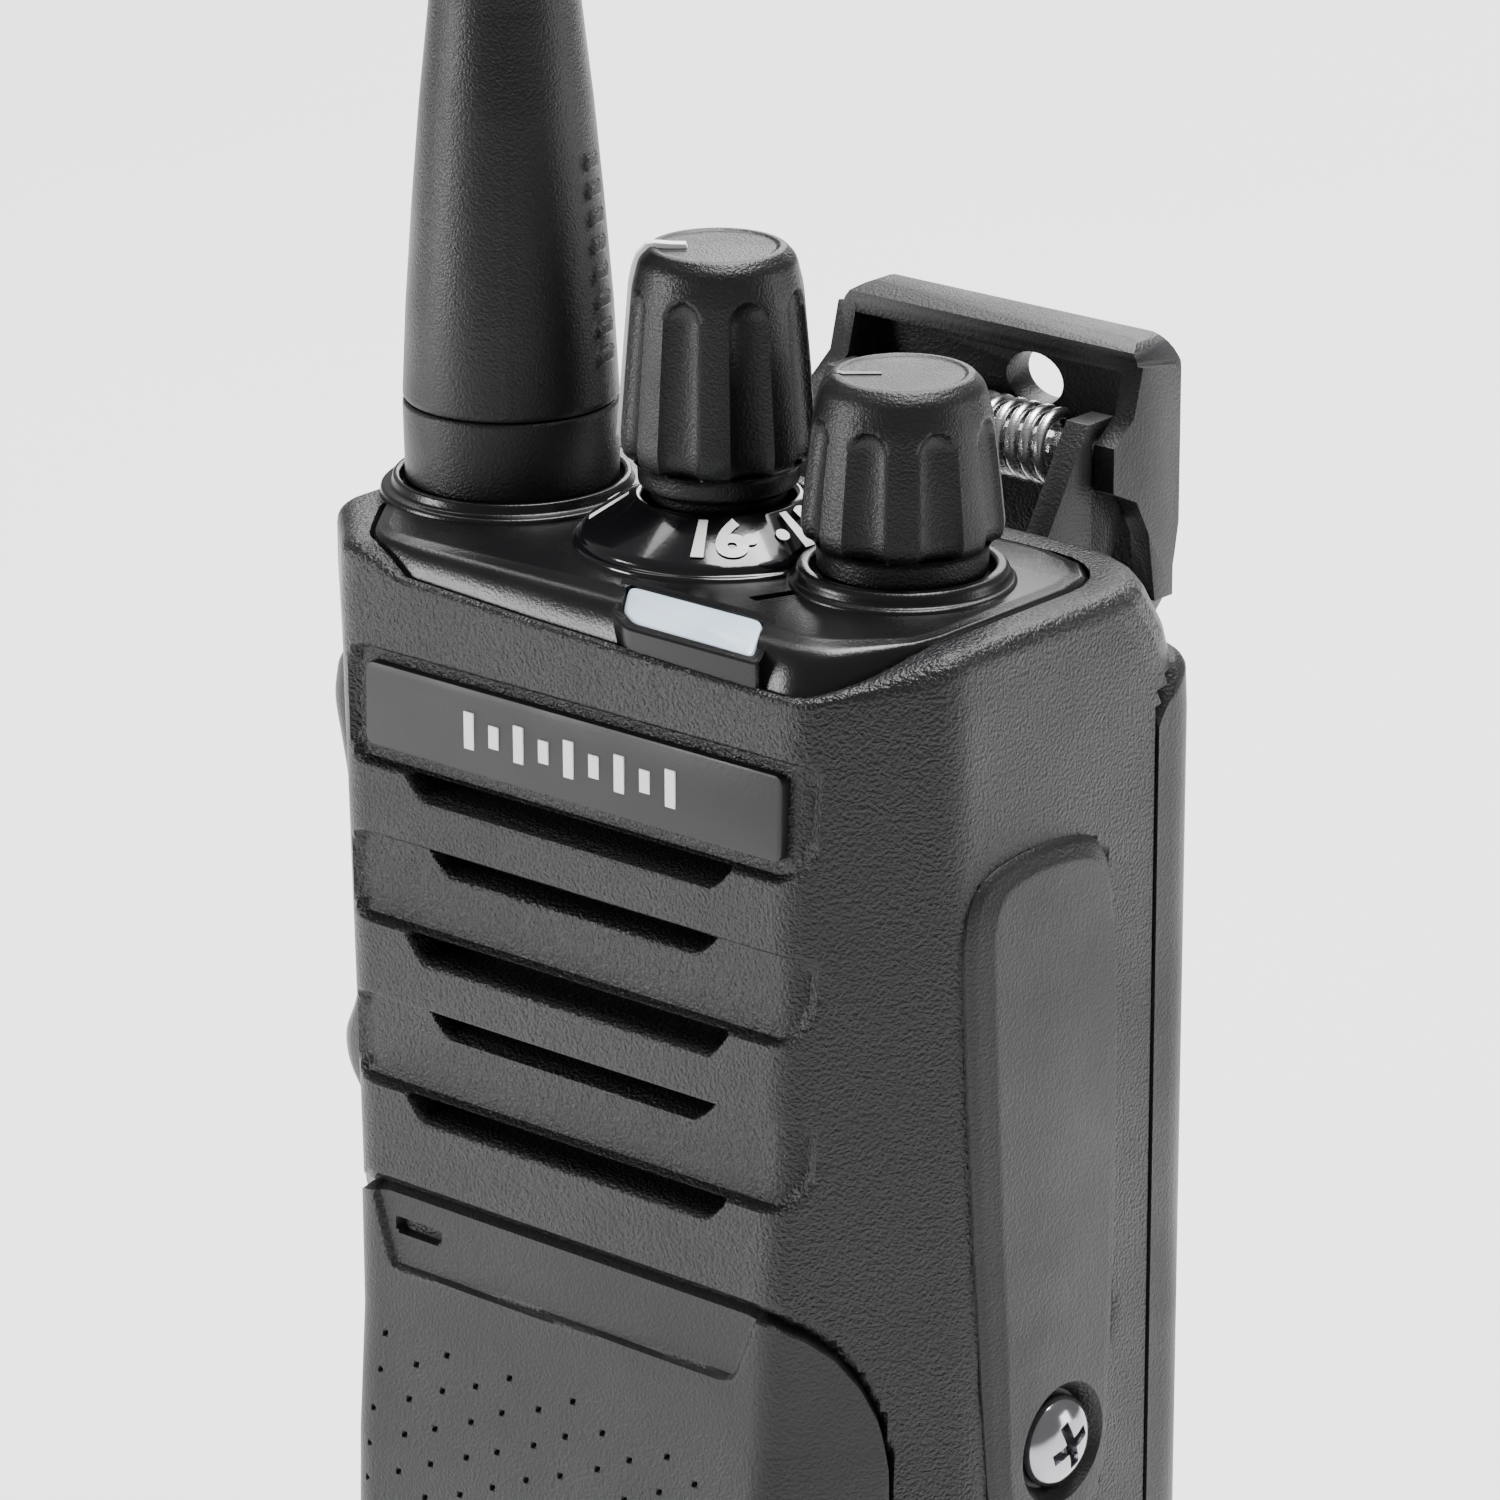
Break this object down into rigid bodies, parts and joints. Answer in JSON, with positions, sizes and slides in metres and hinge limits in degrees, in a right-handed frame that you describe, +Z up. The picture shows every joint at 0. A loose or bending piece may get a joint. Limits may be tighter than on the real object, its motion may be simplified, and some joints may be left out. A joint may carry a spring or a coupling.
{
  "type": "portable two-way radio",
  "caption": "Handheld two-way radio with whip antenna, channel and volume knobs, side push-to-talk bar, rear battery pack and sprung belt clip.",
  "frame": {"origin": "middle of the flat base that the radio stands on", "axes": "+Z up along the antenna, front of the radio faces -Y, +X on the right seen from the front"},
  "size_m": [0.0595, 0.0512, 0.2724],
  "materials": {
    "case": "fine moulded texture, black",
    "battery": "fine moulded texture, black",
    "deck": "satin black",
    "dial": "gloss black with white numerals",
    "lens": "frosted pale blue",
    "badge": "fine matte dark grey",
    "rubber": "matte black",
    "pointer": "white",
    "aluminium": "die cast",
    "steel": "plated",
    "magnet": "plated",
    "brass": "machined",
    "chrome": "polished",
    "board": "green solder mask",
    "inner_plastic": "dark grey",
    "cone": "treated paper and cloth",
    "cell": "blue wrapped can",
    "gold": "gold plated"
  },
  "bodies": {
    "radio": {"accessory_cover": "case", "accessory_jack": "gold", "accessory_screw": "chrome", "antenna_core": "steel", "antenna_jack": "brass", "antenna_nut": "brass", "antenna_o_ring": "rubber", "antenna_plug": "brass", "antenna_sleeve": "rubber", "antenna_whip": "rubber", "badge_plate": "badge", "battery_board": "board", "battery_case": "battery", "battery_contacts": "gold", "battery_lid": "battery", "case_gasket": "rubber", "cell_lower": "cell", "cell_upper": "cell", "channel_dial": "dial", "channel_nut": "brass", "channel_switch": "inner_plastic", "chassis_screw_1": "steel", "chassis_screw_2": "steel", "chassis_screw_3": "steel", "chassis_screw_4": "steel", "clip_bracket": "case", "clip_pin": "steel", "clip_spring": "steel", "front_case": "case", "latch_spring": "steel", "led_lens": "lens", "lower_front_panel": "case", "main_board": "board", "mic_boot": "rubber", "mic_capsule": "steel", "ptt_switch": "inner_plastic", "radio_terminals": "gold", "rear_chassis": "aluminium", "rf_shield": "steel", "side_key_1_switch": "inner_plastic", "side_key_2_switch": "inner_plastic", "side_switch_board": "board", "speaker_cloth": "cone", "speaker_cone": "cone", "speaker_frame": "steel", "speaker_magnet": "magnet", "top_panel": "deck", "volume_nut": "brass", "volume_pot": "inner_plastic"},
    "channel_control": {"channel_knob": "rubber", "channel_pointer": "pointer", "channel_shaft": "steel"},
    "volume_control": {"volume_knob": "rubber", "volume_shaft": "steel"},
    "ptt": {"ptt_button": "rubber"},
    "key_1": {"side_key_1": "rubber"},
    "key_2": {"side_key_2": "rubber"},
    "latch": {"battery_latch": "rubber"},
    "clip": {"clip_lever": "case"}
  },
  "joints": [
    {"name": "channel_turn", "type": "hinge", "parent": "radio", "child": "channel_control", "pos_m": [-0.0005, -0.0005, 0.13], "axis": [0, 0, 1], "range_deg": [-270, 0]},
    {"name": "volume_turn", "type": "hinge", "parent": "radio", "child": "volume_control", "pos_m": [0.01454, 0.00032, 0.13], "axis": [0, 0, 1], "range_deg": [-280, 0]},
    {"name": "ptt_press", "type": "slide", "parent": "radio", "child": "ptt", "axis": [1, 0, 0], "range_m": [0, 0.0012], "stiffness_N_per_m": 1500, "springref_m": -0.0008},
    {"name": "side_key_1_press", "type": "slide", "parent": "radio", "child": "key_1", "axis": [1, 0, 0], "range_m": [0, 0.0008], "stiffness_N_per_m": 1500, "springref_m": -0.0006},
    {"name": "side_key_2_press", "type": "slide", "parent": "radio", "child": "key_2", "axis": [1, 0, 0], "range_m": [0, 0.0008], "stiffness_N_per_m": 1500, "springref_m": -0.0006},
    {"name": "clip_open", "type": "hinge", "parent": "radio", "child": "clip", "pos_m": [0, 0.026, 0.1245], "axis": [1, 0, 0], "range_deg": [0, 18], "stiffness_Nm_per_rad": 0.35, "springref_deg": -17.19},
    {"name": "latch_slide", "type": "slide", "parent": "radio", "child": "latch", "axis": [0, 0, 1], "range_m": [0, 0.0022], "stiffness_N_per_m": 600, "springref_m": -0.003, "deforming": ["latch_spring"]}
  ]
}
